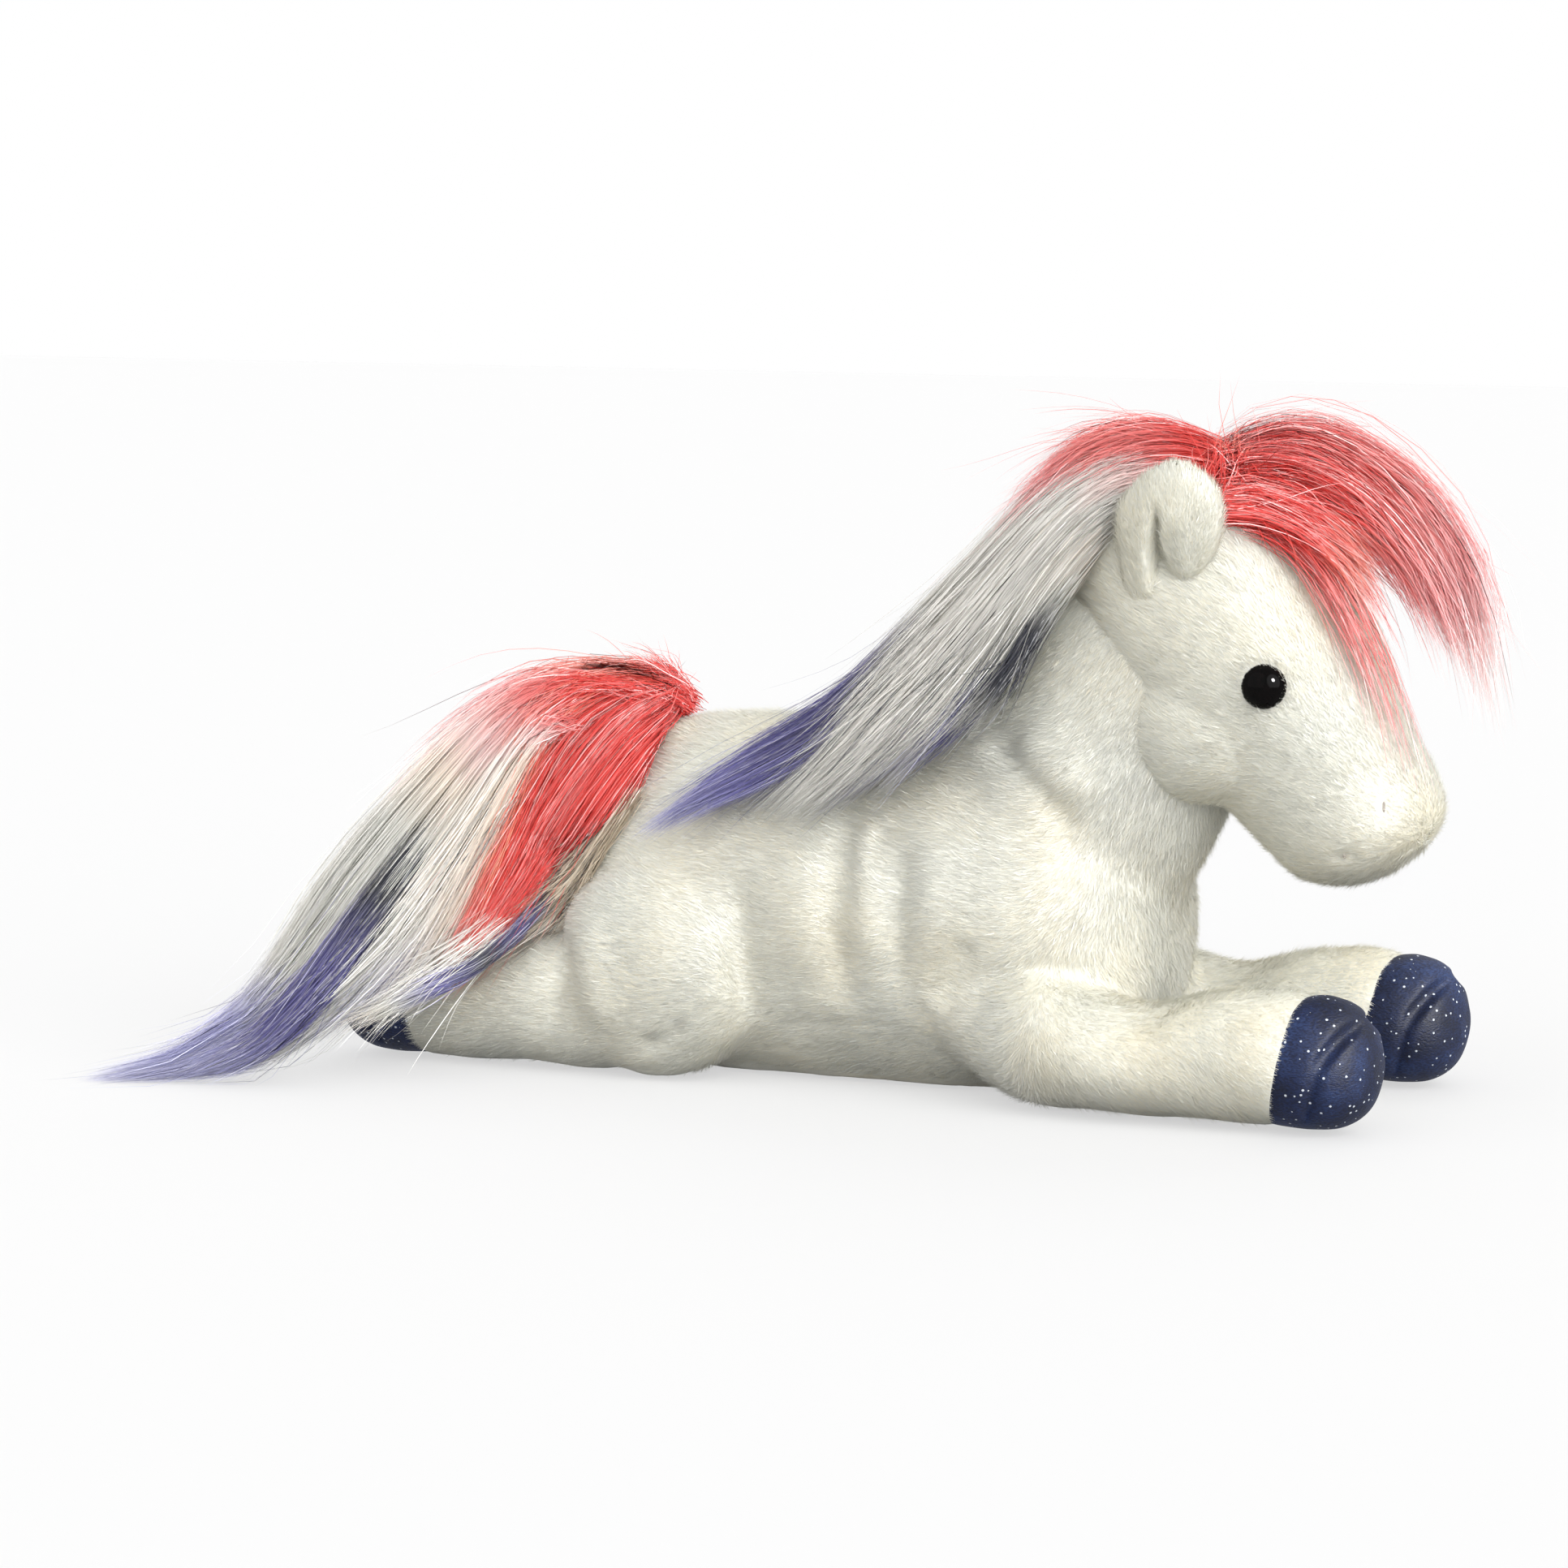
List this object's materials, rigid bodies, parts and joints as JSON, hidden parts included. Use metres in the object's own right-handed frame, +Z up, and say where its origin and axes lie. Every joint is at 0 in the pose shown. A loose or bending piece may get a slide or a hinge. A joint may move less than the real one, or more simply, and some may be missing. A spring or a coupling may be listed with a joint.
{
  "type": "plush horse",
  "caption": "Stuffed plush horse lying on its belly, with long-pile mane, forelock and tail, velour hooves and weighted belly.",
  "frame": {"origin": "middle of the belly panel's flat underside, on the surface the horse lies on, in its plane of symmetry", "axes": "+X towards the nose, +Y to the horse's left, +Z up"},
  "size_m": [0.3641, 0.1686, 0.1859],
  "materials": {
    "plush": "matte",
    "lining": "matte",
    "hoof_velour": "satin",
    "coral_pile": "satin",
    "mixed_pile": "satin",
    "eye_black": "gloss",
    "washer_white": "matte",
    "pellet_canvas": "matte",
    "thread": "matte"
  },
  "bodies": {
    "torso": {"torso": "plush", "belly_panel": "plush", "belly_bean_bag": "pellet_canvas", "mane": "mixed_pile"},
    "neck_thread": {"neck_gathering_thread": "thread"},
    "head": {"head": "plush", "crown_tuft": "coral_pile", "forelock": "coral_pile", "eye_right": "eye_black", "eye_left": "eye_black", "eye_washer_right": "washer_white", "eye_washer_left": "washer_white", "nostril_stitch_right": "thread", "nostril_stitch_left": "thread"},
    "tail": {"tail": "mixed_pile"},
    "ear_right": {"ear_right": "plush", "ear_lining_right": "lining"},
    "foreleg_right": {"foreleg_right": "plush", "fore_hoof_right": "hoof_velour", "fore_hoof_bean_bag_right": "pellet_canvas"},
    "hindleg_right": {"hindleg_right": "plush", "hind_hoof_right": "hoof_velour", "hind_hoof_bean_bag_right": "pellet_canvas"},
    "ear_left": {"ear_left": "plush", "ear_lining_left": "lining"},
    "foreleg_left": {"foreleg_left": "plush", "fore_hoof_left": "hoof_velour", "fore_hoof_bean_bag_left": "pellet_canvas"},
    "hindleg_left": {"hindleg_left": "plush", "hind_hoof_left": "hoof_velour", "hind_hoof_bean_bag_left": "pellet_canvas"}
  },
  "joints": [
    {"name": "head_turn", "type": "hinge", "parent": "torso", "child": "neck_thread", "pos_m": [0.09, 0, 0.125], "axis": [0.6097, 0, 0.7926], "range_deg": [-15, 15], "stiffness_Nm_per_rad": 1.2},
    {"name": "head_nod", "type": "hinge", "parent": "neck_thread", "child": "head", "pos_m": [0.09, 0, 0.125], "axis": [0, 1, 0], "range_deg": [-10, 12], "stiffness_Nm_per_rad": 2, "springref_deg": -0.8},
    {"name": "ear_fold_right", "type": "hinge", "parent": "head", "child": "ear_right", "pos_m": [0.09408, -0.0255, 0.13103], "axis": [1, 0, 0], "range_deg": [-15, 15], "stiffness_Nm_per_rad": 0.02},
    {"name": "ear_fold_left", "type": "hinge", "parent": "head", "child": "ear_left", "pos_m": [0.09408, 0.0255, 0.13103], "axis": [1, 0, 0], "range_deg": [-15, 15], "stiffness_Nm_per_rad": 0.02},
    {"name": "foreleg_lift_right", "type": "hinge", "parent": "torso", "child": "foreleg_right", "pos_m": [0.056, -0.037, 0.0208], "axis": [0, -1, 0], "range_deg": [0, 14], "stiffness_Nm_per_rad": 0.5},
    {"name": "foreleg_lift_left", "type": "hinge", "parent": "torso", "child": "foreleg_left", "pos_m": [0.056, 0.037, 0.0208], "axis": [0, -1, 0], "range_deg": [0, 14], "stiffness_Nm_per_rad": 0.5},
    {"name": "hindleg_lift_right", "type": "hinge", "parent": "torso", "child": "hindleg_right", "pos_m": [-0.048, -0.038, 0.0308], "axis": [0, 1, 0], "range_deg": [0, 12], "stiffness_Nm_per_rad": 0.5},
    {"name": "hindleg_lift_left", "type": "hinge", "parent": "torso", "child": "hindleg_left", "pos_m": [-0.048, 0.038, 0.0308], "axis": [0, 1, 0], "range_deg": [0, 12], "stiffness_Nm_per_rad": 0.5},
    {"name": "tail_lift", "type": "hinge", "parent": "torso", "child": "tail", "pos_m": [-0.06, 0, 0.099], "axis": [0, 1, 0], "range_deg": [0, 22], "stiffness_Nm_per_rad": 0.15}
  ]
}
